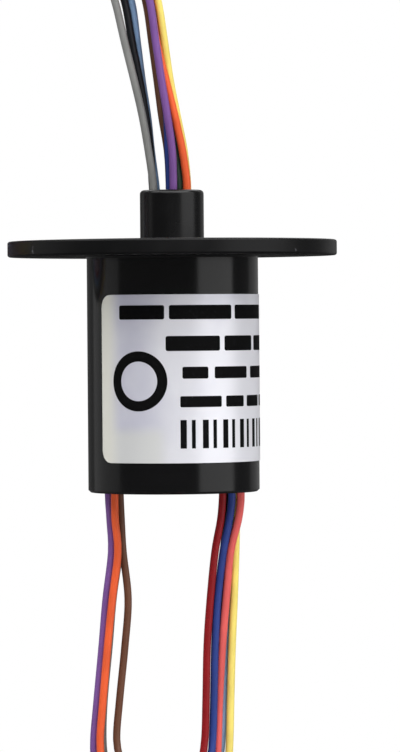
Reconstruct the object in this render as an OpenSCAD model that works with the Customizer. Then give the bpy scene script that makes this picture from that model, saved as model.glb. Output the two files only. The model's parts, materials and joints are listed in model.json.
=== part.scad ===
// Capsule slip ring with a round mounting flange.
//
// Twelve circuits cross from the fixed barrel to the turning hub. Each circuit is one gilt ring
// on the rotor and one sprung wire hairpin that straddles it, soldered to one of two brush
// boards. The rotor turns in two ball bearings, one in the flange's head and one in the end cap.
// The circuits leave as thin leads: upwards out of the hub, downwards through two slots.
//
// Millimetres. +Z is the turning axis, and the origin is the centre of the flange's underside,
// which is the face that seats on a panel. The front of the object looks along -Y.

/* [Barrel and flange] */
// Diameter of the barrel
barrel_d = 22.0; // [21.8:0.1:24]
// Length of the barrel below the flange
barrel_len = 30.2; // [30:0.1:34]
// Wall of the barrel
barrel_wall = 1.5; // [1.4:0.1:1.6]
// Chamfer at the barrel's lower edge
barrel_chamfer = 0.3; // [0.1:0.05:0.5]
// Diameter of the flange
flange_d = 42.3; // [42:0.1:48]
// Thickness of the flange
flange_t = 2.0; // [1.8:0.1:3]
// Rounding of the flange's rim
flange_edge = 0.3; // [0.2:0.1:0.8]
// Fillet between the barrel and the flange's underside
root_fillet = 0.3; // [0.1:0.1:0.5]
// Thickness of the head that closes the barrel, below the flange's underside
head_t = 2.8; // [2.6:0.1:3.2]
// Thickness of the lip above the upper bearing
lip_t = 0.9; // [0.7:0.1:1.1]
// Gap around the rotor's collar where it passes through the lip
lip_gap = 0.3; // [0.2:0.05:0.4]
// Depth of the relief above the turning half of the upper bearing
roof_relief = 0.2; // [0.1:0.05:0.3]

/* [Flange holes] */
// Number of fixing holes
hole_count = 3; // [3:1:6]
// Diameter of the fixing holes
hole_d = 5.5; // [3.4:0.1:5.6]
// Diameter of the circle that the fixing holes lie on
hole_pcd = 34.0; // [32:0.5:34.5]

/* [Rotor] */
// Diameter of the hub
hub_d = 8.2; // [8.1:0.1:8.4]
// Height of the hub above the flange
hub_h = 6.5; // [5:0.5:9]
// Rounding of the hub's upper edge
hub_edge = 0.5; // [0.2:0.1:0.7]
// Diameter of the collar at the hub's foot
collar_d = 8.8; // [8.8:0.1:9]
// Height of the collar above the flange
collar_rise = 0.2; // [0.1:0.1:0.4]
// Bore that the leads run through
rotor_bore_d = 6.0; // [5.8:0.1:6.2]
// Diameter of the core that carries the rings
core_d = 7.8; // [7.7:0.05:7.9]
// Length of the core below the ring carrier
core_tail = 0.9; // [0.5:0.1:1.2]
// Thickness of the floor that closes the bore
bore_floor = 1.3; // [0.8:0.1:2]
// Diameter of the shoulder above the lower bearing
shoulder_d = 6.0; // [5.6:0.1:6.2]
// Diameter of the holes that lead the wires out to the rings
wire_hole_d = 0.8; // [0.6:0.1:0.8]
// Turn from each wire hole to the next one down, in degrees
wire_hole_step = 30; // [20:5:60]
// Space between the lower journal's end and the end cap
end_float = 0.3; // [0.1:0.1:0.4]

/* [Upper bearing] */
// Bore of the upper bearing
top_bore = 8.0; // [7.9:0.05:8.1]
// Outer diameter of the upper bearing
top_od = 12.0; // [11.8:0.1:12.4]
// Width of the upper bearing
top_width = 3.5; // [3.2:0.1:3.6]
// Ball diameter of the upper bearing
top_ball = 1.2; // [1.1:0.05:1.25]
// Number of balls in the upper bearing
top_balls = 12; // [8:1:14]

/* [Lower bearing] */
// Bore of the lower bearing
low_bore = 5.0; // [4.8:0.1:5.1]
// Outer diameter of the lower bearing
low_od = 9.0; // [8.8:0.1:9.2]
// Width of the lower bearing
low_width = 3.0; // [2.8:0.1:3.1]
// Ball diameter of the lower bearing
low_ball = 1.2; // [1.1:0.05:1.25]
// Number of balls in the lower bearing
low_balls = 9; // [6:1:10]

/* [Bearing details] */
// Running gap between a ball and each raceway
race_gap = 0.03; // [0.02:0.01:0.05]
// Gap between a ball and its pocket in the cage
pocket_gap = 0.05; // [0.03:0.01:0.08]
// Depth of a raceway as a share of the ball's diameter
race_depth = 0.2; // [0.15:0.01:0.25]
// Gap between the cage and the shoulders of the bearing rings
cage_gap = 0.15; // [0.1:0.01:0.2]
// How far the cage's fingers reach past the balls' middles, as a share of a ball's diameter
cage_hold = 0.3; // [0.25:0.01:0.35]
// Gap that eases a pressed piece onto its seat
seat_gap = 0.01; // [0.01:0.01:0.02]

/* [Retaining ring] */
// Thickness of the retaining ring under the upper bearing
clip_t = 0.5; // [0.4:0.1:0.6]
// Outer diameter of the retaining ring
clip_od = 9.4; // [9:0.1:9.8]
// Depth of the groove that the retaining ring sits in
clip_groove = 0.4; // [0.3:0.05:0.5]
// Opening of the retaining ring, in degrees
clip_open = 50; // [30:5:90]

/* [Collector rings] */
// Number of circuits
circuits = 12; // [6:1:12]
// Width of a collector ring
ring_w = 1.0; // [0.9:0.05:1]
// Outer diameter of a collector ring
ring_d = 10.4; // [10.2:0.1:10.6]
// Depth of the vee groove in a collector ring
groove_depth = 0.4; // [0.3:0.05:0.4]
// Inner diameter of a collector ring
ring_bore_d = 8.6; // [8.4:0.1:8.8]
// Width of the insulating wall between two rings
barrier_w = 0.5; // [0.4:0.05:0.5]
// Diameter of the insulating walls
barrier_d = 11.2; // [11:0.1:11.6]
// Thickness of the carrier's end walls
carrier_end = 0.75; // [0.5:0.05:0.8]
// Space between the retaining ring and the ring carrier
carrier_drop = 1.5; // [1.2:0.1:1.6]

/* [Brushes] */
// Diameter of the brush wire
wire_d = 0.3; // [0.2:0.05:0.3]
// Running gap between the brush wire and its groove
wire_gap = 0.03; // [0.02:0.01:0.05]
// How far a brush wire reaches past the middle of its ring
wire_reach = 1.5; // [1:0.1:2]
// Bend radius of a brush hairpin
wire_bend = 0.45; // [0.3:0.05:0.6]
// Gap between a brush wire and its hole in the board
wire_clear = 0.02; // [0.01:0.01:0.04]
// Distance from the axis to a brush board
board_x = 6.1; // [6:0.05:6.2]
// Thickness of a brush board
board_t = 0.8; // [0.7:0.1:0.9]
// Width of a brush board
board_w = 14.0; // [13.8:0.1:14.2]
// Space between a brush board and the head above it
board_drop = 1.0; // [0.5:0.1:1.2]
// Gap around a brush board in its guide slots
board_gap = 0.05; // [0.03:0.01:0.1]
// Height of the notch that lets the leads past a brush board
board_notch = 3.0; // [2:0.1:3]

/* [End cap] */
// Thickness of the end cap's disc
cap_t = 1.8; // [1.7:0.1:2.2]
// Width of the ledge in the barrel that the end cap seats on
cap_ledge = 0.65; // [0.5:0.05:0.7]
// Depth of the lower bearing's seat in the end cap's disc
seat_depth = 0.3; // [0.1:0.1:0.4]
// Depth of the relief under the turning half of the lower bearing
floor_relief = 0.5; // [0.4:0.1:0.7]
// Wall of the boss around the lower bearing
boss_wall = 0.9; // [0.7:0.1:1]
// Distance from the axis to the inner side of a lead slot
slot_x = 5.75; // [5.7:0.05:5.8]
// Size of a lead slot outwards from the axis
slot_w = 3.4; // [3.3:0.05:3.45]
// Size of a lead slot across
slot_l = 4.6; // [4.4:0.1:4.8]
// Corner radius of a lead slot
slot_corner = 0.7; // [0.3:0.1:0.9]

/* [Potting] */
// Depth of the potting below the hub's top
mouth_recess = 0.4; // [0.2:0.1:1]
// Length of the potting plug in the hub
mouth_plug = 3.0; // [2:0.5:6]
// Depth of the potting in the lead slots above the end cap's face
slot_recess = 0.3; // [0.1:0.1:0.6]

/* [Label] */
// Height of the label
label_h = 21.3; // [16:0.1:22]
// Distance from the flange's underside to the label
label_top = 4.95; // [4:0.05:6]
// Length of the label around the barrel
label_len = 34.0; // [28:1:50]
// Thickness of the label
label_t = 0.1; // [0.08:0.01:0.15]
// Where the label starts, in degrees left of the front
label_start = 54.0; // [40:0.5:70]
// Corner radius of the label
label_corner = 1.6; // [0.5:0.1:2]

/* [Leads] */
// Outer diameter of a lead
lead_d = 1.0; // [0.9:0.05:1]
// Distance between neighbouring leads in a gathered bundle
lead_pitch = 1.04; // [1.02:0.01:1.06]
// Radius of the arch that the rotor's leads make
arch_r = 12.0; // [11:0.5:14]
// Length of the rotor's leads between the arch and their hank
arch_drop = 3.5; // [3:0.5:6]
// Straight run of a hank
hank_run = 20.0; // [15:1:20]
// Radius of a hank's folds, at the middle of the bundle
fold_r = 5.1; // [5:0.1:6]
// Width of a tie
tie_w = 2.2; // [1.8:0.1:2.5]
// Thickness of a tie
tie_t = 0.6; // [0.4:0.1:0.8]
// Gap between a tie and the leads that it holds
tie_gap = 0.08; // [0.05:0.01:0.12]

/* [Hidden] */
$fn = 96;
eps = 0.01;

// Levels, from the top down
hub_top = flange_t + hub_h;
mouth_face = hub_top - mouth_recess;
roof = flange_t - lip_t;
top_seat = roof - top_width;
clip_foot = top_seat - clip_t;
carrier_top = clip_foot - carrier_drop;
stack_h = circuits * ring_w + (circuits - 1) * barrier_w;
carrier_foot = carrier_top - stack_h - 2 * carrier_end;
core_foot = carrier_foot - core_tail;
cap_top = -barrel_len + cap_t;
low_seat = cap_top - seat_depth;
low_top = low_seat + low_width;
journal_foot = low_seat - floor_relief + end_float;
slot_face = -barrel_len + slot_recess;
board_top = -head_t - board_drop;

// Radii
barrel_r = barrel_d / 2;
cavity_r = barrel_r - barrel_wall;
cap_r = cavity_r + cap_ledge;
groove_r = ring_d / 2 - groove_depth;
// The groove's flanks lie at 45 degrees, so the wire's middle is this far from the axis
wire_y = groove_r + (wire_d / 2 + wire_gap) * sqrt(2);
leg_x = board_x + board_t + wire_bend;
// The rounds of the label's corners run out past its edges by this much
corner_ease = 0.02;

// Twelve leads close together: places across the bundle, in steps of the lead pitch
bundle_slots = [
    [-1.0, -1.15], [-1.5, -0.29], [-1.0, 0.58],
    [0.0, -1.15], [0.5, -0.29], [-0.5, -0.29], [0.0, 0.58],
    [1.5, -0.29], [-0.5, 1.44], [1.0, -1.15], [1.0, 0.58], [0.5, 1.44],
];
bundle_r = max([for (slot = bundle_slots) norm(slot)]) * lead_pitch + lead_d / 2;
layer = 2 * bundle_r;
hank_layers = 3;
// The neck of a hank stands this far out of its folds, and is this much slimmer than they are
neck_rise = 0.2;
neck_ease = 0.05;
hank_neck = fold_r + bundle_r + neck_rise;
// Longest step along a lead's route
route_step = 3 * lead_d;

// Insulation colours of the circuits
lead_colours = [
    "#22242c", "#8f8f8d", "#7fb8d8", "#7a5a92", "#e8663c", "#34365c", "#6b4634",
    "#37483a", "#7d1116", "#f2dc80", "#df6e73", "#ececea",
];

// Routes of the rotor's leads: x, y and the height above the mouth of the hub
rotor_heights = [0, 1.5, 5.5, 10, 14.5, 19.5, 24];
rotor_places = [
    [[-2.4, 0.45], [-2.5, 0.4], [-2.7, 0.1], [-3.25, -0.05],
        [-3.98, -0.05], [-4.95, -0.05], [-5.7, 0.0]],
    [[-2.35, -0.62], [-2.4, -0.65], [-2.95, -0.95], [-3.7, -1.1],
        [-4.7, -1.1], [-5.9, -1.1], [-6.9, -1.0]],
    [[-1.98, 1.46], [-2.1, 1.42], [-2.6, 1.15], [-3.05, 1.0], [-3.7, 0.98], [-4.3, 0.78], [-4.85, 0.6]],
    [[0.2, -1.7], [0.22, -1.75], [0.1, -1.8], [-0.5, -2.0], [-1.2, -2.3], [-1.9, -2.3], [-2.5, -2.3]],
    [[1.95, -1.2], [1.95, -1.2], [1.4, -1.3], [0.45, -1.45],
        [-0.65, -1.4], [-1.8, -1.25], [-2.5, -1.2]],
    [[-0.25, -0.65], [-0.25, -0.65], [-0.4, -0.75], [-0.55, -0.85],
        [-1.15, -0.4], [-1.9, -0.2], [-2.5, -0.15]],
    [[-0.3, 0.5], [-0.3, 0.5], [-0.5, 0.4], [-1.2, 0.0], [-1.75, 0.45], [-2.4, 0.75], [-3.0, 0.75]],
    [[0.95, -0.65], [0.95, -0.65], [0.55, -0.35], [-0.1, 0.25], [-0.4, 0.6], [-1.1, 0.6], [-1.7, 0.55]],
    [[0.85, 0.5], [0.85, 0.5], [0.6, 0.7], [-0.7, 1.25], [-1.3, 1.4], [-2.0, 1.7], [-2.6, 1.7]],
    [[2.0, 0.0], [2.0, 0.0], [1.6, -0.05], [0.75, -0.4], [-0.1, -0.5], [-0.8, -0.6], [-1.45, -0.7]],
    [[1.4, 1.5], [1.4, 1.5], [1.3, 1.5], [0.4, 1.35], [-0.3, 1.65], [-0.95, 1.7], [-1.55, 1.65]],
    [[0.2, 1.6], [0.2, 1.6], [0.0, 1.75], [-0.2, 2.3], [-1.0, 2.45], [-1.6, 2.7], [-2.2, 2.7]],
];
// The arch starts this far round from level, and ends hanging straight down
arch_from = 15;
arch_x = -15.5;
arch_height = 24;
arch_steps = 13;
arch_start = [-3.1, 0];

// Routes of the stator's leads: x, y and the depth below the mouth of the slots
stator_depths = [0, 1.5, 4, 8, 14, 20, 27, 32];
stator_places = [
    [[6.9, 0.4], [6.9, 0.4], [6.8, 0.35], [6.3, 0.2], [5.9, 0.2], [5.4, 0.2], [5.0, 0.35], [4.8, 0.2]],
    [[-6.95, 0.3], [-6.95, 0.3], [-7.0, 0.3], [-7.1, 0.5],
        [-7.95, 0.3], [-8.5, 0.4], [-9.2, 0.4], [-9.4, 0.3]],
    [[7.4, 1.4], [7.4, 1.4], [7.4, 1.4], [7.0, 1.1], [6.8, 0.85], [6.4, 0.75], [6.1, 0.7], [5.9, 0.7]],
    [[-8.4, -1.15], [-8.35, -1.15], [-8.2, -1.05], [-8.05, -1.3],
        [-8.8, -1.4], [-9.35, -1.4], [-10.05, -1.5], [-10.5, -1.6]],
    [[-7.6, -1.85], [-7.6, -1.85], [-7.55, -1.95], [-7.25, -2.0],
        [-8.0, -2.1], [-8.65, -2.2], [-9.3, -2.2], [-9.7, -2.3]],
    [[7.4, -0.75], [7.4, -0.75], [7.05, -0.8], [6.25, -0.95],
        [5.5, -0.95], [5.1, -1.1], [4.9, -1.3], [4.7, -1.5]],
    [[-6.95, -0.85], [-6.9, -0.85], [-6.8, -0.85], [-6.6, -0.75],
        [-6.0, -0.8], [-6.45, -0.8], [-7.2, -0.9], [-7.6, -1.1]],
    [[-8.05, -0.1], [-8.05, -0.1], [-8.05, 0.0], [-7.9, -0.2],
        [-8.7, -0.35], [-9.25, -0.3], [-9.9, -0.4], [-10.3, -0.5]],
    [[6.25, -0.9], [6.2, -0.95], [5.95, -1.0], [5.2, -1.2],
        [4.55, -1.4], [4.1, -1.5], [3.9, -1.7], [3.7, -1.9]],
    [[7.95, 0.45], [7.95, 0.45], [7.95, 0.5], [7.85, 0.35],
        [7.6, 0.1], [7.3, 0.1], [7.05, 0.2], [6.9, 0.2]],
    [[8.55, -0.5], [8.55, -0.5], [8.2, -0.6], [7.2, -0.5],
        [6.6, -0.7], [6.05, -0.65], [5.6, -0.5], [5.4, -0.7]],
    [[-7.6, 1.2], [-7.6, 1.2], [-7.5, 1.2], [-7.7, 1.35],
        [-8.6, 1.15], [-9.1, 1.25], [-9.8, 1.25], [-10.0, 1.2]],
];
// Where the stator's leads come together, and the slots of the bundle that they take there
neck_depth = 50;
neck_x = -2.5;
neck_order = [6, 2, 11, 1, 0, 9, 3, 5, 4, 10, 7, 8];
neck_steps = 6;
left_group = [-9.6, -0.6];
right_group = [5.2, -0.7];
// Leads that come together fan out this far on their way, as a share of their spacing
fan = 0.5;

// ---- names ----
function two(k) = k < 10 ? str("0", k) : str(k);
function ring_name(k) = str("collector_ring_", two(k + 1));
function rotor_lead_name(k) = str("rotor_lead_", two(k + 1));
function stator_lead_name(k) = str("stator_lead_", two(k + 1));

// ---- profiles ----

// Half section of a disc with rounded outer corners, standing on z = 0
module disc_profile(r, h, edge) {
    square([r - edge, h]);
    translate([0, edge]) square([r, h - 2 * edge]);
    translate([r - edge, edge]) circle(edge);
    translate([r - edge, h - edge]) circle(edge);
}

// Rectangle with rounded corners, its middle at the origin
module rounded_rect(w, h, corner) {
    square([w - 2 * corner, h], center = true);
    square([w, h - 2 * corner], center = true);
    for (x = [-1, 1], y = [-1, 1])
        translate([x * (w / 2 - corner), y * (h / 2 - corner)]) circle(corner);
}

// Ring of rectangular section between two radii and two levels
module ring(r_in, r_out, z_low, z_high) {
    rotate_extrude() translate([r_in, z_low]) square([r_out - r_in, z_high - z_low]);
}

// ---- stator ----
module flange() {
    rotate_extrude() disc_profile(flange_d / 2, flange_t, flange_edge);
}

module barrel() {
    rotate_extrude() polygon([
        [0, eps], [barrel_r, eps], [barrel_r, -barrel_len + barrel_chamfer],
        [barrel_r - barrel_chamfer, -barrel_len], [0, -barrel_len],
    ]);
    rotate_extrude() translate([barrel_r, -root_fillet]) difference() {
        square(root_fillet);
        translate([root_fillet, 0]) circle(root_fillet);
    }
}

// Lip bore, bearing seat, chamber and the end cap's ledge
module housing_bore() {
    lip_r = collar_d / 2 + lip_gap;
    relief_r = race_out(top_bore, top_od, top_ball) + cage_gap;
    translate([0, 0, -head_t - eps]) cylinder(r = lip_r, h = head_t + flange_t + 2 * eps);
    translate([0, 0, -head_t - eps]) cylinder(r = relief_r, h = head_t + roof + roof_relief + eps);
    translate([0, 0, -head_t - eps]) cylinder(r = top_od / 2 + seat_gap, h = head_t + roof + eps);
    translate([0, 0, -barrel_len - eps]) cylinder(r = cavity_r, h = barrel_len - head_t + eps);
    translate([0, 0, -barrel_len - eps]) cylinder(r = cap_r, h = cap_t + eps);
}

module guide_slots() {
    for (side = [-1, 1])
        translate([side * (board_x + board_t / 2), 0, (cap_top - head_t - eps) / 2])
            cube([board_t + 2 * board_gap, board_w + 2 * board_gap, -head_t - cap_top + eps],
                center = true);
}

module stator_housing() {
    color("#17171a") difference() {
        union() {
            flange();
            barrel();
        }
        housing_bore();
        guide_slots();
        for (k = [0:hole_count - 1])
            rotate([0, 0, 90 + k * 360 / hole_count])
                translate([hole_pcd / 2, 0, -eps]) cylinder(d = hole_d, h = flange_t + 2 * eps);
    }
}

module slot_outline(shrink) {
    for (side = [-1, 1])
        translate([side * (slot_x + slot_w / 2), 0])
            rounded_rect(slot_w - 2 * shrink, slot_l - 2 * shrink, slot_corner - shrink);
}

module end_cap() {
    relief_r = race_out(low_bore, low_od, low_ball) + cage_gap;
    color("#1c1c1f") difference() {
        union() {
            translate([0, 0, -barrel_len]) cylinder(r = cap_r - seat_gap, h = cap_t);
            translate([0, 0, -barrel_len]) cylinder(r = low_od / 2 + boss_wall, h = low_top + barrel_len);
        }
        translate([0, 0, low_seat]) cylinder(r = low_od / 2 + seat_gap, h = low_width + eps);
        translate([0, 0, low_seat - floor_relief]) cylinder(r = relief_r, h = floor_relief + eps);
        translate([0, 0, -barrel_len - eps]) linear_extrude(cap_t + 2 * eps) slot_outline(0);
    }
}

module stator_potting() {
    color("#26262a") translate([0, 0, slot_face]) linear_extrude(cap_top - slot_face)
        slot_outline(seat_gap);
}

// One corner to be cut off the label, at the angle and level of the middle of its round
module label_corner_cut(angle, level, turn) {
    rotate([0, 0, angle]) translate([barrel_r - label_corner, 0, level]) rotate([turn, 0, 0])
        difference() {
            cube([2 * label_corner, 2 * label_corner, 2 * label_corner]);
            translate([-eps, 0, 0]) rotate([0, 90, 0]) cylinder(r = label_corner, h = 3 * label_corner);
        }
}

module label() {
    sweep_deg = label_len / (barrel_r + label_t) * 180 / PI;
    inset = label_corner - corner_ease;
    inset_deg = inset / (barrel_r + label_t) * 180 / PI;
    from = -90 - label_start;
    low = -label_top - label_h;
    color("#d9d9de") difference() {
        rotate([0, 0, from]) rotate_extrude(angle = sweep_deg)
            translate([barrel_r, low]) square([label_t, label_h]);
        label_corner_cut(from + inset_deg, low + inset, 180);
        label_corner_cut(from + inset_deg, -label_top - inset, 90);
        label_corner_cut(from + sweep_deg - inset_deg, low + inset, -90);
        label_corner_cut(from + sweep_deg - inset_deg, -label_top - inset, 0);
    }
}

// ---- rotor ----
function ring_level(k) = carrier_top - carrier_end - ring_w / 2 - k * (ring_w + barrier_w);

// Radial holes from the rotor's bore to the rings, each turned round from the one above
module wire_holes() {
    start = rotor_bore_d / 2 - wire_hole_d;
    for (k = [0:circuits - 1])
        translate([0, 0, ring_level(k)]) rotate([0, 90, k * wire_hole_step])
            translate([0, 0, start]) cylinder(d = wire_hole_d, h = ring_d / 2 - start);
}

module rotor_shaft() {
    hub_foot = flange_t + collar_rise;
    color("#1f1f23") difference() {
        union() {
            rotate_extrude() translate([0, hub_foot]) disc_top(hub_d / 2, hub_top - hub_foot, hub_edge);
            translate([0, 0, roof]) cylinder(d = collar_d, h = hub_foot - roof);
            translate([0, 0, clip_foot]) cylinder(d = top_bore, h = roof - clip_foot);
            translate([0, 0, core_foot]) cylinder(d = core_d, h = clip_foot - core_foot);
            translate([0, 0, low_top]) cylinder(d = shoulder_d, h = core_foot - low_top);
            translate([0, 0, journal_foot]) cylinder(d = low_bore, h = low_top - journal_foot);
        }
        translate([0, 0, core_foot + bore_floor]) cylinder(d = rotor_bore_d, h = hub_top - core_foot);
        ring(top_bore / 2 - clip_groove, top_bore, clip_foot, top_seat);
        wire_holes();
    }
}

// Half section of a disc whose upper outer corner is rounded, standing on z = 0
module disc_top(r, h, edge) {
    square([r - edge, h]);
    square([r, h - edge]);
    translate([r - edge, h - edge]) circle(edge);
}

module rotor_potting() {
    color("#2a2a2d") translate([0, 0, mouth_face - mouth_plug])
        cylinder(d = rotor_bore_d - 2 * seat_gap, h = mouth_plug);
}

module retaining_ring() {
    groove_floor = top_bore / 2 - clip_groove + seat_gap;
    color("#8a8c90") rotate([0, 0, 90 + clip_open / 2]) rotate_extrude(angle = 360 - clip_open)
        translate([groove_floor, clip_foot]) square([clip_od / 2 - groove_floor, clip_t]);
}

module ring_carrier() {
    color("#c9b98c") difference() {
        ring(core_d / 2 + seat_gap, barrier_d / 2, carrier_foot, carrier_top);
        for (k = [0:circuits - 1])
            ring(ring_bore_d / 2, barrier_d, ring_level(k) - ring_w / 2, ring_level(k) + ring_w / 2);
        wire_holes();
    }
}

module collector_ring(k) {
    half = ring_w / 2;
    rim = ring_d / 2;
    color("#d8b15a") translate([0, 0, ring_level(k)]) rotate_extrude() polygon([
        [ring_bore_d / 2, -half], [rim, -half], [rim, -groove_depth], [groove_r, 0],
        [rim, groove_depth], [rim, half], [ring_bore_d / 2, half],
    ]);
}

// ---- bearings ----
function pitch_r(bore, od) = (bore + od) / 4;
function race_in(bore, od, ball) = pitch_r(bore, od) - ball / 2 + ball * race_depth;
function race_out(bore, od, ball) = pitch_r(bore, od) + ball / 2 - ball * race_depth;

// Half section of a bearing ring between two radii, with its raceway
module race(r_in, r_out, width, pitch, ball) {
    rotate_extrude() difference() {
        translate([r_in, -width / 2]) square([r_out - r_in, width]);
        translate([pitch, 0]) circle(ball / 2 + race_gap);
    }
}

module bearing_outer(bore, od, width, ball) {
    color("#b9bcc2") race(race_out(bore, od, ball), od / 2, width, pitch_r(bore, od), ball);
}

module bearing_inner(bore, od, width, ball) {
    color("#c4c7cc") race(bore / 2 + seat_gap, race_in(bore, od, ball), width, pitch_r(bore, od), ball);
}

module bearing_balls(bore, od, ball, count) {
    color("#dfe1e4") for (k = [0:count - 1])
        rotate([0, 0, k * 360 / count]) translate([pitch_r(bore, od), 0, 0]) sphere(d = ball, $fn = 32);
}

// Crown cage: open pockets from below, a closed band above the balls
module bearing_cage(bore, od, width, ball, count) {
    lip = cage_hold * ball;
    band = width / 2 - cage_gap;
    color("#c8913e") difference() {
        ring(race_in(bore, od, ball) + cage_gap, race_out(bore, od, ball) - cage_gap, -lip, band);
        for (k = [0:count - 1])
            rotate([0, 0, k * 360 / count]) translate([pitch_r(bore, od), 0, 0])
                sphere(d = ball + 2 * pocket_gap, $fn = 32);
    }
}

module at_upper() {
    translate([0, 0, top_seat + top_width / 2]) children();
}

module at_lower() {
    translate([0, 0, low_seat + low_width / 2]) children();
}

module upper_bearing_outer() {
    at_upper() bearing_outer(top_bore, top_od, top_width, top_ball);
}

module upper_bearing_inner() {
    at_upper() bearing_inner(top_bore, top_od, top_width, top_ball);
}

module upper_bearing_cage() {
    at_upper() bearing_cage(top_bore, top_od, top_width, top_ball, top_balls);
}

module upper_bearing_balls() {
    at_upper() bearing_balls(top_bore, top_od, top_ball, top_balls);
}

module lower_bearing_outer() {
    at_lower() bearing_outer(low_bore, low_od, low_width, low_ball);
}

module lower_bearing_inner() {
    at_lower() bearing_inner(low_bore, low_od, low_width, low_ball);
}

module lower_bearing_cage() {
    at_lower() bearing_cage(low_bore, low_od, low_width, low_ball, low_balls);
}

module lower_bearing_balls() {
    at_lower() bearing_balls(low_bore, low_od, low_ball, low_balls);
}

// ---- brushes ----
// The left board serves rings 1, 3, 5 and so on, the right board rings 2, 4, 6 and so on
function rings_of(side) = [for (k = [side < 0 ? 0 : 1:2:circuits - 1]) k];

module brush_board(side) {
    difference() {
        translate([side > 0 ? board_x : -board_x - board_t, -board_w / 2, cap_top])
            cube([board_t, board_w, board_top - cap_top]);
        translate([side * (board_x + board_t / 2), 0, cap_top])
            cube([2 * board_t, slot_l, 2 * board_notch], center = true);
        for (k = rings_of(side), y = [-wire_y, wire_y])
            translate([0, y, ring_level(k)]) rotate([0, side * 90, 0])
                translate([0, 0, board_x - board_t])
                    cylinder(d = wire_d + 2 * wire_clear, h = 3 * board_t);
    }
}

// Two prongs through the board, and the leg that joins them behind it
module hairpin(side) {
    prong = leg_x - wire_bend + wire_reach;
    for (y = [-1, 1]) {
        translate([-side * wire_reach, y * wire_y, 0]) rotate([0, side * 90, 0])
            cylinder(d = wire_d, h = prong, $fn = 32);
        translate([side * (leg_x - wire_bend), y * (wire_y - wire_bend), 0])
            rotate([0, 0, side > 0 ? (y > 0 ? 0 : -90) : (y > 0 ? 90 : 180)])
                rotate_extrude(angle = 90) translate([wire_bend, 0]) circle(d = wire_d, $fn = 32);
    }
    translate([side * leg_x, -(wire_y - wire_bend), 0]) rotate([-90, 0, 0])
        cylinder(d = wire_d, h = 2 * (wire_y - wire_bend), $fn = 32);
}

module brush_wires(side) {
    color("#d9b765") for (k = rings_of(side))
        translate([0, 0, ring_level(k)]) hairpin(side);
}

module brush_board_left() {
    color("#2f5d3a") brush_board(-1);
}

module brush_board_right() {
    color("#2f5d3a") brush_board(1);
}

module brush_wires_left() {
    brush_wires(-1);
}

module brush_wires_right() {
    brush_wires(1);
}

// ---- leads ----
function unit(v) = v / norm(v);

// Point on a smooth curve through p1 and p2, with p0 and p3 as their neighbours
function between(p0, p1, p2, p3, t) =
    ((2 * p1) + (p2 - p0) * t + (2 * p0 - 5 * p1 + 4 * p2 - p3) * t * t
        + (3 * p1 - p0 - 3 * p2 + p3) * t * t * t) / 2;

// Splits each span of a route into pieces of about the given length
function smooth_route(p, span) = concat(
    [for (i = [0:len(p) - 2])
        let (parts = max(1, round(norm(p[i + 1] - p[i]) / span)))
            for (j = [0:parts - 1])
                between(p[max(i - 1, 0)], p[i], p[i + 1], p[min(i + 2, len(p) - 1)], j / parts)],
    [p[len(p) - 1]]
);

// Direction of a route at one of its points: its ends leave their faces squarely
function heading(p, i, first, last) =
    i == 0 ? first : i == len(p) - 1 ? last : unit(p[i + 1] - p[i - 1]);

// Round tube along a route that never runs along Y
module tube(p, first, last) {
    sides = 8;
    n = len(p);
    rings = [for (i = [0:n - 1])
        let (h = heading(p, i, first, last), u = unit(cross([0, 1, 0], h)), v = cross(h, u))
            for (j = [0:sides - 1])
                let (a = (j + 0.5) * 360 / sides)
                    p[i] + lead_d / 2 * (cos(a) * u + sin(a) * v)];
    walls = [for (i = [0:n - 2], j = [0:sides - 1])
        let (a = i * sides + j, b = i * sides + (j + 1) % sides)
            [a + sides, b + sides, b, a]];
    ends = [
        [for (j = [0:sides - 1]) j],
        [for (j = [sides - 1:-1:0]) (n - 1) * sides + j],
    ];
    polyhedron(rings, concat(walls, ends));
}

// Place of a lead across its bundle, on the way from a loose place to its slot: t runs from 0 to 1
function gathered(loose, slot, t) =
    (loose * (1 - t) + slot * lead_pitch * t) * (1 + fan * sin(180 * t));

// Place of a lead on the arch, across which its bundle is turned
function on_arch(k, t) =
    let (angle = arch_from + (180 - arch_from) * t,
        place = gathered(rotor_places[k][len(rotor_heights) - 1] - arch_start, bundle_slots[k], t),
        out = arch_r + place[0])
            [arch_x + out * cos(angle), place[1], mouth_face + arch_height + out * sin(angle)];

function rotor_route(k) = concat(
    [for (i = [0:len(rotor_heights) - 1])
        [rotor_places[k][i][0], rotor_places[k][i][1], mouth_face + rotor_heights[i]]],
    [for (i = [0:arch_steps]) on_arch(k, i / arch_steps)],
    [on_arch(k, 1) - [0, 0, arch_drop]]
);

// Place of a stator's lead between the end of its hand-laid route and the neck of the hank
function on_neck(k, t) =
    let (last = len(stator_depths) - 1,
        from = stator_places[k][last],
        group = from[0] < 0 ? left_group : right_group,
        middle = group + ([neck_x, -fold_r] - group) * t * t * (3 - 2 * t),
        place = middle + gathered(from - group, bundle_slots[neck_order[k]], t))
            [place[0], place[1],
                slot_face - stator_depths[last] - (neck_depth - stator_depths[last]) * t];

function stator_route(k) = concat(
    [for (i = [0:len(stator_depths) - 2])
        [stator_places[k][i][0], stator_places[k][i][1], slot_face - stator_depths[i]]],
    [for (i = [0:neck_steps]) on_neck(k, i / neck_steps)]
);

module rotor_lead(k) {
    color(lead_colours[k]) tube(smooth_route(rotor_route(k), route_step), [0, 0, 1], [0, 0, -1]);
}

module stator_lead(k) {
    color(lead_colours[k]) tube(smooth_route(stator_route(k), route_step), [0, 0, -1], [0, 0, -1]);
}

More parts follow.
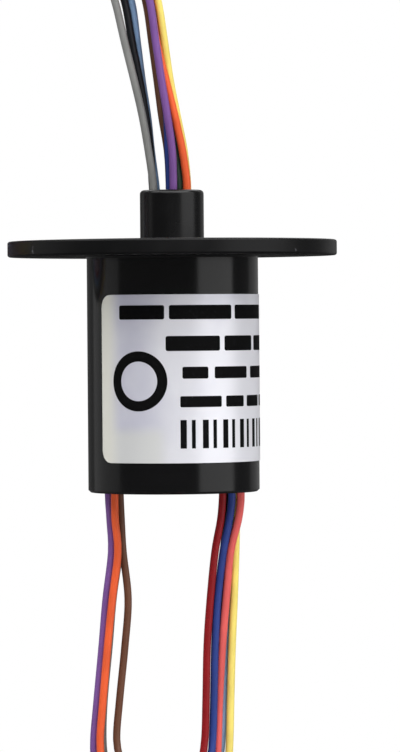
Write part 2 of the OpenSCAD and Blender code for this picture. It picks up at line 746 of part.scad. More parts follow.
// Outer shape of a folded bundle. It hangs from the origin, where its neck ends, the folds lie
// towards +Y and the layers are stacked along X on the given side
module hank(side) {
    width = hank_layers * layer;
    translate([side * (width - layer) / 2, fold_r, -hank_neck])
        rotate([0, 90, 0]) translate([0, 0, -width / 2]) linear_extrude(width) {
            circle(fold_r + bundle_r);
            translate([hank_run, 0]) circle(fold_r + bundle_r);
            translate([0, -fold_r - bundle_r]) square([hank_run, 2 * (fold_r + bundle_r)]);
        }
    translate([0, 0, -hank_neck]) cylinder(r = bundle_r - neck_ease, h = hank_neck);
}

// Band around the middle of a hank
module hank_tie(side) {
    width = hank_layers * layer + 2 * tie_gap;
    depth = 2 * (fold_r + bundle_r + tie_gap);
    translate([side * (hank_layers - 1) * layer / 2, fold_r, -hank_neck - hank_run / 2 - tie_w / 2])
        linear_extrude(tie_w) difference() {
            rounded_rect(width + 2 * tie_t, depth + 2 * tie_t, tie_t);
            square([width, depth], center = true);
        }
}

module at_rotor_hank() {
    translate([arch_x - arch_r, 0, mouth_face + arch_height - arch_drop]) children();
}

module at_stator_hank() {
    translate([neck_x, -fold_r, slot_face - neck_depth]) children();
}

module rotor_lead_hank() {
    color("#a06a5a") at_rotor_hank() hank(-1);
}

module rotor_hank_tie() {
    color("#2b2b2e") at_rotor_hank() hank_tie(-1);
}

module stator_lead_hank() {
    color("#5a6aa0") at_stator_hank() hank(1);
}

module stator_hank_tie() {
    color("#2b2b2e") at_stator_hank() hank_tie(1);
}

stator_housing();
end_cap();
rotor_shaft();
retaining_ring();
ring_carrier();
upper_bearing_outer();
upper_bearing_inner();
upper_bearing_cage();
upper_bearing_balls();
lower_bearing_outer();
lower_bearing_inner();
lower_bearing_cage();
lower_bearing_balls();
brush_board_left();
brush_board_right();
brush_wires_left();
brush_wires_right();
rotor_potting();
stator_potting();
label();
rotor_lead_hank();
rotor_hank_tie();
stator_lead_hank();
stator_hank_tie();
for (k = [0:circuits - 1]) collector_ring(k);
for (k = [0:circuits - 1]) rotor_lead(k);
for (k = [0:circuits - 1]) stator_lead(k);
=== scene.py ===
"""Dresses the capsule slip ring: flange, barrel with its label, turning hub and coloured leads.

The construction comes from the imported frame. This script gives each solid its finish, lays the
leads at their full length, builds the label with its plain print, and sets the camera and lights.
"""
import json
import logging
import math
from dataclasses import dataclass, field
from enum import Enum
from typing import Iterable, Sequence

import bmesh
import bpy
from mathutils import Matrix, Vector


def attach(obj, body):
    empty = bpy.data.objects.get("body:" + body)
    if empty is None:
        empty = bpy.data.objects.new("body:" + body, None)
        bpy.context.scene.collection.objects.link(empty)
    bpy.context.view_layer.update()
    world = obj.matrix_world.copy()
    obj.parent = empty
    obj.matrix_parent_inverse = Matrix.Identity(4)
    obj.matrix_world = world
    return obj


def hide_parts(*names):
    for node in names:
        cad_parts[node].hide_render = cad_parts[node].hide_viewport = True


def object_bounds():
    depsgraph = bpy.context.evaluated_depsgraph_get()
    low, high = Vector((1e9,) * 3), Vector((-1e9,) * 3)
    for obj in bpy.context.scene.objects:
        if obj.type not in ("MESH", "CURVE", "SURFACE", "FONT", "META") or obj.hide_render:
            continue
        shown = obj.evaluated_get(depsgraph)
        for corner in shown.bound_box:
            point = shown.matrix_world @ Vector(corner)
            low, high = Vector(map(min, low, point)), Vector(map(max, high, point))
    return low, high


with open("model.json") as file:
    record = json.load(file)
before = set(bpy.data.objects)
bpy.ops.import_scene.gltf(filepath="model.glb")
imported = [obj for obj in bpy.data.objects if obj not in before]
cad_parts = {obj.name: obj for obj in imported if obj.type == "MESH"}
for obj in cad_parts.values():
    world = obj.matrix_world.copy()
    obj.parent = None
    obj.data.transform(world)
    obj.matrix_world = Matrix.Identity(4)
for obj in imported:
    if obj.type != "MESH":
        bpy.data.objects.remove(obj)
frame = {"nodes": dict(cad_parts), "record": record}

CAD_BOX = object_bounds()
LOG = logging.getLogger("slip_ring")
MM = 0.001
SHARP_FROM_DEG = 35.0
# a Mix node's two colours among its inputs, and their mixture among its outputs
MIX_A, MIX_B, MIXED = 6, 7, 2

Colour = tuple[float, float, float, float]
Material = bpy.types.Material
Node = bpy.types.Node
Owner = Material | bpy.types.World
Piece = bpy.types.Object
Place = tuple[float, float]
Range = tuple[float, float]
Route = list[Vector]
Shape = bmesh.types.BMesh
Socket = bpy.types.NodeSocket


# ---- small helpers ----

def linear(hex_colour: str, factor: float = 1.0) -> Colour:
    """Turn an sRGB hex colour into the linear values that the shaders read.

    Args:
        hex_colour: Six hex digits, with or without a leading hash.
        factor: What red, green and blue are then multiplied by, up to one at the most.

    Returns:
        Red, green, blue and an alpha of one.
    """
    digits = hex_colour.lstrip("#")
    values = [int(digits[i:i + 2], 16) / 255 for i in (0, 2, 4)]
    straight = [v / 12.92 if v <= 0.04045 else ((v + 0.055) / 1.055) ** 2.4 for v in values]
    red, green, blue = (min(1.0, v * factor) for v in straight)
    return (red, green, blue, 1.0)


def set_sockets(owner: Owner, node: Node, sockets: dict) -> None:
    """Set or link the inputs of a node.

    Args:
        owner: The material or world that the node is in.
        node: The node.
        sockets: Input names or numbers, each with a value, an output to link from, or a node
            whose first output is meant.
    """
    for name, value in sockets.items():
        if isinstance(value, Node):
            value = value.outputs[0]
        if isinstance(value, Socket):
            owner.node_tree.links.new(value, node.inputs[name])
        else:
            node.inputs[name].default_value = value


def add_node(owner: Owner, kind: str, settings: dict | None = None,
             sockets: dict | None = None) -> Node:
    """Add one shader node with its settings, values and links.

    Args:
        owner: The material or world whose tree gets the node.
        kind: The node's type name.
        settings: Attributes of the node itself.
        sockets: Its inputs, as set_sockets takes them.

    Returns:
        The new node.
    """
    node = owner.node_tree.nodes.new(kind)
    for name, value in (settings or {}).items():
        setattr(node, name, value)
    set_sockets(owner, node, sockets or {})
    return node


def set_ramp(node: Node, stops: Range, colours: Sequence[Colour]) -> None:
    """Give a colour ramp its two stops.

    Args:
        node: The ramp's node.
        stops: Where the two stops stand, from nought to one.
        colours: The linear colour at each.
    """
    for element, position, colour in zip(node.color_ramp.elements, stops, colours):
        element.position = position
        element.color = colour


def sized(place: Socket, size_mm: float) -> dict[str, Socket | float]:
    """Put a pattern on a piece's coordinates, at a size in millimetres."""
    return {"Vector": place, "Scale": 1 / (size_mm * MM)}


def spans(source: Range = (0.0, 1.0), target: Range = (0.0, 1.0)) -> dict[str, float]:
    """Name the ends of one range and of the range that it is mapped onto."""
    return dict(zip(("From Min", "From Max", "To Min", "To Max"), source + target))


def start_material(name: str) -> tuple[Material, Node, Socket]:
    """Start a material whose patterns read Object coordinates.

    Args:
        name: The real surface's material and how it was made.

    Returns:
        The material, its shader and the output that gives the coordinates.
    """
    material = bpy.data.materials.new(name)
    material.use_nodes = True
    place = add_node(material, "ShaderNodeTexCoord").outputs["Object"]
    return material, material.node_tree.nodes["Principled BSDF"], place


def new_mesh(name: str, bm: Shape, body: str) -> Piece:
    """Turn a bmesh into an object that rides on a body, smooth apart from its real edges.

    Args:
        name: The piece's name.
        bm: The shape, in metres and in place. It is freed here.
        body: The body that carries the piece.

    Returns:
        The new object.
    """
    mesh = bpy.data.meshes.new(name)
    for face in bm.faces:
        face.smooth = True
    bm.to_mesh(mesh)
    bm.free()
    mesh.set_sharp_from_angle(angle=math.radians(SHARP_FROM_DEG))
    piece = bpy.data.objects.new(name, mesh)
    bpy.context.scene.collection.objects.link(piece)
    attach(piece, body)
    LOG.info("%s rides on %s: %d faces", name, body, len(mesh.polygons))
    return piece


def dress(piece: Piece, material: Material) -> None:
    """Put one material on a piece.

    Args:
        piece: The piece, with or without slots of its own.
        material: The finish that every slot gets.
    """
    if not piece.material_slots:
        piece.data.materials.append(material)
    for slot in piece.material_slots:
        slot.material = material


# ---- finishes ----

class Lead(Enum):
    """The circuits in their order, each with the colour of its insulation."""

    BLACK = "#1b1c21"
    GREY = "#858583"
    LIGHT_BLUE = "#86a6cc"
    VIOLET = "#7a5296"
    ORANGE = "#ea5f31"
    NAVY = "#2b3f86"
    BROWN = "#6b4634"
    GREEN = "#2c4436"
    DARK_RED = "#8c1218"
    YELLOW = "#f5e074"
    PINK = "#e4605c"
    WHITE = "#ececea"


@dataclass(frozen=True)
class Finish:
    """What the finishes share: a tone, a shine and a relief that each follow a pattern.

    A pattern's size is in millimetres. The shine is given in shares of the roughness.
    """

    name: str
    colour: str
    roughness: float
    stops: Range = (0.35, 0.65)
    shine_over: Range = (0.0, 1.0)
    shine: Range = (0.8, 1.25)
    relief_mm: float = 0.02

    def coat(self, material: Material, tones: Node, colours: Sequence[Colour], shines: Node,
             relief: Node | Socket, depth: float) -> dict[str, Node]:
        """Turn patterns into what the shader reads.

        Args:
            material: The material.
            tones: The pattern that the colour follows.
            colours: The colours at its two stops.
            shines: The pattern that the roughness follows.
            relief: The pattern that the surface rises with.
            depth: How strongly it rises.

        Returns:
            The nodes for the shader's inputs, by their names.
        """
        tone = add_node(material, "ShaderNodeValToRGB", None, {"Fac": tones})
        set_ramp(tone, self.stops, colours)
        rough = (self.roughness * self.shine[0], self.roughness * self.shine[1])
        shine = add_node(material, "ShaderNodeMapRange", None, {
            "Value": shines, **spans(self.shine_over, rough)})
        bump = add_node(material, "ShaderNodeBump", None, {
            "Height": relief, "Strength": depth, "Distance": self.relief_mm * MM})
        return {"Base Color": tone, "Roughness": shine, "Normal": bump}


@dataclass(frozen=True)
class MouldedPlastic(Finish):
    """Glass-filled nylon or resin from a mould: an even skin with a faint grain and soft shine.

    A flange's turned rim is duller and carries a few small painted glints, and its seating face is
    matt.
    """

    stops: Range = (0.3, 0.75)
    shine_over: Range = (0.3, 0.7)
    shine: Range = (0.85, 1.15)
    relief_mm: float = 0.05
    ior: float = 1.5
    specular: float = 0.5
    lift: float = 1.35
    cloud_mm: float = 6.0
    grain_mm: float = 0.35
    grain_depth: float = 0.04
    flanged: bool = False
    rim_from_mm: float = 20.3
    rim_width_mm: float = 0.6
    rim_times: float = 2.1
    rim_specular: float = 0.32
    seat_from_mm: float = 11.2
    seat_level_mm: float = 0.03
    seat_times: float = 3.2
    # small pale specks on the rim that stand in for glints: painted highlights
    glint_mm: float = 2.1
    glint_share: Range = (0.69, 0.73)
    glint_from_times: float = 1.2
    glint_colour: str = "#5f5f64"

    def build(self) -> Material:
        """Make the material: two noises vary the shine and raise the moulded grain."""
        material, shader, place = start_material(self.name)
        cloud = add_node(material, "ShaderNodeTexNoise", None, {
            **sized(place, self.cloud_mm), "Detail": 4.0})
        grain = add_node(material, "ShaderNodeTexNoise", None, {
            **sized(place, self.grain_mm), "Detail": 2.0})
        colours = (linear(self.colour), linear(self.colour, self.lift))
        coat = self.coat(material, cloud, colours, cloud, grain, self.grain_depth)
        set_sockets(material, shader, {
            "IOR": self.ior, "Specular IOR Level": self.specular, **coat})
        if self.flanged:
            rim = self.turn_rim(material, shader, place, coat)
            # painted glints: small pale specks on the rim
            self.paint_rim_glints(material, shader, place, coat, rim)
        return material

    def turn_rim(self, material: Material, shader: Node, place: Socket,
                 coat: dict[str, Node]) -> Node:
        """Dull the flange's turned rim, and the face that seats on the panel.

        Args:
            material: The plastic's material.
            shader: Its shader.
            place: Object coordinates.
            coat: What the plain plastic's shader reads.

        Returns:
            The node that grows from one towards the rim.
        """
        flat = add_node(material, "ShaderNodeVectorMath", {"operation": "MULTIPLY"}, {
            0: place, 1: (1.0, 1.0, 0.0)})
        length = add_node(material, "ShaderNodeVectorMath", {"operation": "LENGTH"}, {0: flat})
        reach = length.outputs["Value"]
        edge = (self.rim_from_mm * MM, (self.rim_from_mm + self.rim_width_mm) * MM)
        rim = add_node(material, "ShaderNodeMapRange", None, {
            "Value": reach, **spans(edge, (1.0, self.rim_times))})
        dulled = add_node(material, "ShaderNodeMath", {"operation": "MULTIPLY"}, {
            0: coat["Roughness"], 1: rim})
        part = add_node(material, "ShaderNodeSeparateXYZ", None, {"Vector": place})
        low = add_node(material, "ShaderNodeMath", {"operation": "LESS_THAN"}, {
            0: part.outputs["Z"], 1: self.seat_level_mm * MM})
        out = add_node(material, "ShaderNodeMath", {"operation": "GREATER_THAN"}, {
            0: reach, 1: self.seat_from_mm * MM})
        seat = add_node(material, "ShaderNodeMath", {"operation": "MULTIPLY"}, {0: low, 1: out})
        matt = add_node(material, "ShaderNodeMapRange", None, {
            "Value": seat, **spans(target=(1.0, self.seat_times))})
        rough = add_node(material, "ShaderNodeMath", {"operation": "MULTIPLY"}, {
            0: dulled, 1: matt})
        faint = add_node(material, "ShaderNodeMapRange", None, {
            "Value": rim, **spans((1.0, self.rim_times), (self.specular, self.rim_specular))})
        set_sockets(material, shader, {"Roughness": rough, "Specular IOR Level": faint})
        return rim

    def paint_rim_glints(self, material: Material, shader: Node, place: Socket,
                  coat: dict[str, Node], rim: Node) -> None:
        """Paint a few small pale glints on the rim: painted highlights in its colour.

        Args:
            material: The plastic's material.
            shader: Its shader.
            place: Object coordinates.
            coat: What the plain plastic's shader reads.
            rim: The node that grows from one towards the rim.
        """
        glint_noise = add_node(material, "ShaderNodeTexNoise", None, {
            **sized(place, self.glint_mm), "Detail": 3.0})
        few = add_node(material, "ShaderNodeMapRange", None, {
            "Value": glint_noise, **spans(self.glint_share)})
        at_rim = add_node(material, "ShaderNodeMath", {"operation": "GREATER_THAN"}, {
            0: rim, 1: self.glint_from_times})
        share = add_node(material, "ShaderNodeMath", {"operation": "MULTIPLY"}, {0: few, 1: at_rim})
        # painted highlights: pale specks mixed into the rim's colour
        with_painted_glints = add_node(material, "ShaderNodeMix", {"data_type": "RGBA"}, {
            "Factor": share, MIX_A: coat["Base Color"], MIX_B: linear(self.glint_colour)})
        set_sockets(material, shader, {"Base Color": with_painted_glints.outputs[MIXED]})


@dataclass(frozen=True)
class WorkedMetal(Finish):
    """Turned, ground, stamped or plated metal: fine rings around the axis, or a plain polish."""

    shine: Range = (1.3, 0.7)
    turning_mm: float = 0.08
    # a wave's bands lie 0.31 of its size apart, so ten turns in it give rings three turns wide
    turns_in_wave: float = 10.0
    turning_depth: float = 0.05
    wander: float = 0.6
    stain_mm: float = 1.5
    stain: float = 0.82

    def build(self) -> Material:
        """Make the material: a wave along the axis raises the tool's fine rings."""
        material, shader, place = start_material(self.name)
        wave = {"wave_type": "BANDS", "bands_direction": "Z"}
        rings = add_node(material, "ShaderNodeTexWave", wave, {
            **sized(place, self.turning_mm * self.turns_in_wave), "Distortion": self.wander})
        stain = add_node(material, "ShaderNodeTexNoise", None, {
            **sized(place, self.stain_mm), "Detail": 3.0})
        colours = (linear(self.colour, self.stain), linear(self.colour))
        set_sockets(material, shader, {"Metallic": 1.0, **self.coat(
            material, stain, colours, stain, rings.outputs["Fac"], self.turning_depth)})
        return material


@dataclass(frozen=True)
class ExtrudedInsulation(Finish):
    """Fluoropolymer pulled over a strand: smooth and waxy, with a faint unevenness along it."""

    roughness: float = 0.34
    relief_mm: float = 0.03
    ior: float = 1.38
    drift_mm: float = 4.0
    drift: float = 0.86
    skin_mm: float = 0.4
    skin_depth: float = 0.05

    def build(self) -> Material:
        """Make the material: a slow noise varies the tone, a fine one the waxy surface."""
        material, shader, place = start_material(self.name)
        drift = add_node(material, "ShaderNodeTexNoise", None, {
            **sized(place, self.drift_mm), "Detail": 3.0})
        skin = add_node(material, "ShaderNodeTexNoise", None, {
            **sized(place, self.skin_mm), "Detail": 2.0})
        colours = (linear(self.colour, self.drift), linear(self.colour))
        set_sockets(material, shader, {"IOR": self.ior, **self.coat(
            material, drift, colours, skin, skin, self.skin_depth)})
        return material


@dataclass(frozen=True)
class LabelFilm(Finish):
    """Silver polyester film: pale lacquer over a metal coat, with a cool cloud and a fine tooth.

    The tint runs from the shade colour at the left of the barrel to near white at the right:
    painted shade on the left and painted light on the right, over the cloud's random tone. The left
    margin is creamier, and the lower left corner greyer. Angles run from the front towards +X, in
    radians unless the name says degrees.
    """

    name: str = "silver_polyester_film"
    colour: str = "#ebebf1"
    roughness: float = 0.33
    stops: Range = (0.35, 0.72)
    shine: Range = (0.85, 1.2)
    # the darker film tone, which the painted shade on the left of the barrel pulls towards
    shade: str = "#cfcfde"
    margin: str = "#efeee4"
    corner_grey: str = "#e2e3e0"
    metallic: float = 0.3
    cloud_mm: float = 9.0
    tooth_mm: float = 0.3
    tooth_depth: float = 0.03
    # painted light and shade: the angles over which the tone goes from the shade on the left to
    # near white on the right, and how far it moves the tone
    painted_light_over: Range = (-0.7, 0.2)
    painted_light_by: Range = (-0.15, 0.25)
    margin_over_deg: Range = (-35.0, -49.0)
    grey_corner_levels_mm: Range = (-23.2, -21.0)
    grey_corner_over: Range = (0.0, -0.22)
    grey_corner_strength: float = 0.85

    def build(self) -> Material:
        """Make the material: a slow cloud and painted light and shade tint the film, a fine noise
        its shine.
        """
        material, shader, place = start_material(self.name)
        cloud = add_node(material, "ShaderNodeTexNoise", None, {
            **sized(place, self.cloud_mm), "Detail": 3.0, "Roughness": 0.4})
        tooth = add_node(material, "ShaderNodeTexNoise", None, {
            **sized(place, self.tooth_mm), "Detail": 2.0})
        part = add_node(material, "ShaderNodeSeparateXYZ", None, {"Vector": place})
        front = add_node(material, "ShaderNodeMath", {"operation": "MULTIPLY"}, {
            0: part.outputs["Y"], 1: -1.0})
        angle = add_node(material, "ShaderNodeMath", {"operation": "ARCTAN2"}, {
            0: part.outputs["X"], 1: front})
        # painted shade on the left of the barrel and painted light on the right, added to the
        # cloud's random tone
        drift = add_node(material, "ShaderNodeMapRange", {"interpolation_type": "SMOOTHSTEP"}, {
            "Value": angle, **spans(self.painted_light_over, self.painted_light_by)})
        tint = add_node(material, "ShaderNodeMath", {"operation": "ADD"}, {0: cloud, 1: drift})
        colours = (linear(self.shade), linear(self.colour))
        coat = self.coat(material, tint, colours, tooth, tooth, self.tooth_depth)
        corner_and_margin_tone = self.grey_corner_and_margin(material, coat["Base Color"], angle, part.outputs["Z"])
        set_sockets(material, shader, {
            "Metallic": self.metallic, **coat, "Base Color": corner_and_margin_tone})
        return material

    def grey_corner_and_margin(self, material: Material, tone: Node, angle: Node, level: Socket) -> Socket:
        """Grey the lower left corner, and turn the left margin creamier.

        Args:
            material: The film's material.
            tone: The node that gives the film's colour, with its painted light and shade.
            angle: The node that gives the angle around the barrel.
            level: The output that gives the level.

        Returns:
            The output that gives the colour.
        """
        soft = {"interpolation_type": "SMOOTHSTEP"}
        levels = (self.grey_corner_levels_mm[0] * MM, self.grey_corner_levels_mm[1] * MM)
        low = add_node(material, "ShaderNodeMapRange", soft, {
            "Value": level, **spans(levels, (1.0, 0.0))})
        turned = add_node(material, "ShaderNodeMapRange", soft, {
            "Value": angle, **spans(self.grey_corner_over, (0.0, self.grey_corner_strength))})
        grey_corner = add_node(material, "ShaderNodeMath", {"operation": "MULTIPLY"}, {0: low, 1: turned})
        greyed = add_node(material, "ShaderNodeMix", {"data_type": "RGBA"}, {
            "Factor": grey_corner, MIX_A: tone, MIX_B: linear(self.corner_grey)})
        start, end = (math.radians(degrees) for degrees in self.margin_over_deg)
        edge = add_node(material, "ShaderNodeMapRange", soft, {
            "Value": angle, **spans((start, end))})
        stock = add_node(material, "ShaderNodeMix", {"data_type": "RGBA"}, {
            "Factor": edge, MIX_A: greyed.outputs[MIXED], MIX_B: linear(self.margin)})
        return stock.outputs[MIXED]


@dataclass(frozen=True)
class PrintedInk:
    """Screen-printed ink: dead black and matt, with small thin places where film grins through."""

    name: str = "screen_printed_ink"
    colour: str = "#050506"
    thin: str = "#141417"
    specular: float = 0.12
    spread_mm: float = 0.5
    stops: Range = (0.55, 0.8)
    roughness: Range = (0.6, 0.8)

    def build(self) -> Material:
        """Make the material: a fine noise thins the ink here and there."""
        material, shader, place = start_material(self.name)
        spread = add_node(material, "ShaderNodeTexNoise", None, {
            **sized(place, self.spread_mm), "Detail": 4.0})
        tone = add_node(material, "ShaderNodeValToRGB", None, {"Fac": spread})
        set_ramp(tone, self.stops, (linear(self.colour), linear(self.thin)))
        matt = add_node(material, "ShaderNodeMapRange", None, {
            "Value": spread, **spans(target=self.roughness)})
        set_sockets(material, shader, {
            "Specular IOR Level": self.specular, "Base Color": tone, "Roughness": matt})
        return material


# ---- leads ----

def ease(t: float) -> float:
    """Ease a share from nought to one, level at both ends."""
    return t * t * (3 - 2 * t)


@dataclass
class Hank:
    """A bundle of leads folded up in flat layers below its neck, the folds towards +Y.

    Lengths are in millimetres, here and in the looms.
    """

    neck_end: Vector
    side: int
    run: float = 20.0
    fold_r: float = 5.1
    neck: float = 7.39
    layer: float = 4.18
    half_turns: int = 7
    fold_steps: int = 14
    run_steps: int = 5

    def route(self, across: float, deep: float) -> Route:
        """Lay one lead through the hank, in more half turns than any lead fills.

        Args:
            across: The lead's place in the bundle along X.
            deep: Its place towards the folds, along +Y at the neck.

        Returns:
            Points from just below the neck's end.
        """
        points: Route = []
        x, z = self.neck_end.x + across, self.neck_end.z - self.neck
        radius = self.fold_r - deep
        middle = self.neck_end.y + self.fold_r
        for turn in range(self.half_turns):
            # runs go down in front and up behind, and each ends in a fold
            down = turn % 2 == 0
            way = -1 if down else 1
            start, end = (z, z - self.run) if down else (z - self.run, z)
            for i in range(self.run_steps + 1):
                level = start + (end - start) * i / self.run_steps
                points.append(Vector((x, middle + way * radius, level)))
            shift = 0.0 if down else self.side * self.layer
            for i in range(1, self.fold_steps):
                t = i / self.fold_steps
                points.append(Vector((x + shift * ease(t),
                                      middle + way * radius * math.cos(math.pi * t),
                                      end + way * radius * math.sin(math.pi * t))))
            x += shift
        return points


@dataclass
class Loom:
    """What the two sets of leads share: the wire, its length and the closely packed bundle.

    Each set adds its own mouth, the places of its leads there, its hank and the way over to it.
    """

    lead_d: float = 1.0
    length: float = 250.0
    roundness: int = 3
    pitch: float = 1.04
    fan: float = 0.5
    span: float = 0.9
    # each slot of the bundle as (across, deep) from its middle, in pitches
    slots: Sequence[Place] = (
        (-1.0, -1.15), (-1.5, -0.29), (-1.0, 0.58),
        (0.0, -1.15), (0.5, -0.29), (-0.5, -0.29), (0.0, 0.58),
        (1.5, -0.29), (-0.5, 1.44), (1.0, -1.15), (1.0, 0.58), (0.5, 1.44),
    )
    # the slot that each lead takes
    order: Sequence[int] = tuple(range(12))

    def gathered(self, loose: Place, slot: Place, t: float) -> Place:
        """Place a lead between loose and packed, at share t, fanned out on the way."""
        spread = 1 + self.fan * math.sin(math.pi * t)
        return tuple((a * (1 - t) + b * self.pitch * t) * spread for a, b in zip(loose, slot))

    @staticmethod
    def between(p: Route, i: int, t: float) -> Vector:
        """Find a point on the smooth curve through a route, at share t of span i."""
        p0, p1, p2, p3 = p[max(i - 1, 0)], p[i], p[i + 1], p[min(i + 2, len(p) - 1)]
        return (2 * p1 + (p2 - p0) * t + (2 * p0 - 5 * p1 + 4 * p2 - p3) * t * t
                + (3 * p1 - p0 - 3 * p2 + p3) * t * t * t) / 2

    def smooth(self, p: Route) -> Route:
        """Fill a route in.

        Args:
            p: The route's few points.

        Returns:
            Points about one span apart, on the smooth curve through them.
        """
        points: Route = []
        for i in range(len(p) - 1):
            parts = max(1, round((p[i + 1] - p[i]).length / self.span))
            points += [self.between(p, i, j / parts) for j in range(parts)]
        return points + [p[-1]]

    def cut(self, p: Route) -> Route:
        """Cut a route off at the lead's real length.

        Args:
            p: The route, longer than the lead.

        Returns:
            The points up to the cut, which is the last.
        """
        kept, left = [p[0]], self.length
        for a, b in zip(p, p[1:]):
            step = (b - a).length
            if step >= left:
                return kept + [a + (b - a) * (left / step)]
            kept.append(b)
            left -= step
        return kept

    def route(self, k: int) -> Route:
        """Lay a lead out of its mouth, over to the hank and into it.

        Args:
            k: The lead, counted from nought.

        Returns:
            The points of its whole way.
        """
        out = [Vector((x, y, self.mouth + level))
               for (x, y), level in zip(self.places[k], self.levels)]
        across, deep = self.slots[self.order[k]]
        hank = self.hank()
        return out + self.over(k) + hank.route(hank.side * across * self.pitch, deep * self.pitch)

    def lay(self, name: str, node: str, body: str, route: Route,
            material: Material) -> tuple[Piece, Vector, Vector]:
        """Lay one lead along its route.

        Args:
            name: The piece's name.
            node: The solid that it stands for.
            body: The body that carries it.
            route: Its whole way, longer than the lead.
            material: The finish of its insulation.

        Returns:
            The piece, its cut end and the way it points there.
        """
        points = self.cut(self.smooth(route))
        curve = bpy.data.curves.new(name, "CURVE")
        curve.dimensions = "3D"
        curve.bevel_depth = self.lead_d / 2 * MM
        curve.bevel_resolution = self.roundness
        curve.use_fill_caps = True
        spline = curve.splines.new("POLY")
        spline.points.add(len(points) - 1)
        for knot, point in zip(spline.points, points):
            knot.co = (*(point * MM), 1.0)
        spline.use_smooth = True
        piece = bpy.data.objects.new(name, curve)
        bpy.context.scene.collection.objects.link(piece)
        curve.materials.append(material)
        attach(piece, body)
        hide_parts(node)
        LOG.info("%s rides on %s: %d points", name, body, len(points))
        return piece, points[-1], (points[-1] - points[-2]).normalized()


@dataclass
class RotorLeads(Loom):
    """The leads that leave the hub upwards, lean left and arch over to their hank."""

    mouth: float = 8.1
    # one row a lead: its (x, y) at each of these levels, counted from the mouth
    levels: Sequence[float] = (0, 1.5, 5.5, 10, 14.5, 19.5, 24)
    places: Sequence[Sequence[Place]] = (
        ((-2.4, 0.45), (-2.5, 0.4), (-2.7, 0.1), (-3.25, -0.05), (-3.98, -0.05),
         (-4.95, -0.05), (-5.7, 0.0)),
        ((-2.35, -0.62), (-2.4, -0.65), (-2.95, -0.95), (-3.7, -1.1), (-4.7, -1.1),
         (-5.9, -1.1), (-6.9, -1.0)),
        ((-1.98, 1.46), (-2.1, 1.42), (-2.6, 1.15), (-3.05, 1.0), (-3.7, 0.98),
         (-4.3, 0.78), (-4.85, 0.6)),
        ((0.2, -1.7), (0.22, -1.75), (0.1, -1.8), (-0.5, -2.0), (-1.2, -2.3),
         (-1.9, -2.3), (-2.5, -2.3)),
        ((1.95, -1.2), (1.95, -1.2), (1.4, -1.3), (0.45, -1.45), (-0.65, -1.4),
         (-1.8, -1.25), (-2.5, -1.2)),
        ((-0.25, -0.65), (-0.25, -0.65), (-0.4, -0.75), (-0.55, -0.85), (-1.15, -0.4),
         (-1.9, -0.2), (-2.5, -0.15)),
        ((-0.3, 0.5), (-0.3, 0.5), (-0.5, 0.4), (-1.2, 0.0), (-1.75, 0.45),
         (-2.4, 0.75), (-3.0, 0.75)),
        ((0.95, -0.65), (0.95, -0.65), (0.55, -0.35), (-0.1, 0.25), (-0.4, 0.6),
         (-1.1, 0.6), (-1.7, 0.55)),
        ((0.85, 0.5), (0.85, 0.5), (0.6, 0.7), (-0.7, 1.25), (-1.3, 1.4),
         (-2.0, 1.7), (-2.6, 1.7)),
        ((2.0, 0.0), (2.0, 0.0), (1.6, -0.05), (0.75, -0.4), (-0.1, -0.5),
         (-0.8, -0.6), (-1.45, -0.7)),
        ((1.4, 1.5), (1.4, 1.5), (1.3, 1.5), (0.4, 1.35), (-0.3, 1.65),
         (-0.95, 1.7), (-1.55, 1.65)),
        ((0.2, 1.6), (0.2, 1.6), (0.0, 1.75), (-0.2, 2.3), (-1.0, 2.45),
         (-1.6, 2.7), (-2.2, 2.7)),
    )
    arch_r: float = 12.0
    arch_from: float = 15.0
    arch_x: float = -15.5
    arch_height: float = 24.0
    arch_steps: int = 13
    arch_start: Place = (-3.1, 0.0)
    arch_drop: float = 3.5

    def hank(self) -> Hank:
        """The hank hangs straight down from the end of the arch."""
        level = self.mouth + self.arch_height - self.arch_drop
        return Hank(neck_end=Vector((self.arch_x - self.arch_r, 0, level)), side=-1)

    def over(self, k: int) -> Route:
        """Take a lead round the arch and straight down to the neck.

        Args:
            k: The lead, counted from nought.

        Returns:
            The points of that way.
        """
        x, y = self.places[k][-1]
        loose = (x - self.arch_start[0], y - self.arch_start[1])
        points: Route = []
        for i in range(self.arch_steps + 1):
            t = i / self.arch_steps
            angle = math.radians(self.arch_from + (180 - self.arch_from) * t)
            across, deep = self.gathered(loose, self.slots[self.order[k]], t)
            out = self.arch_r + across
            points.append(Vector((self.arch_x + out * math.cos(angle), deep,
                                  self.mouth + self.arch_height + out * math.sin(angle))))
        return points + [points[-1] - Vector((0, 0, self.arch_drop))]


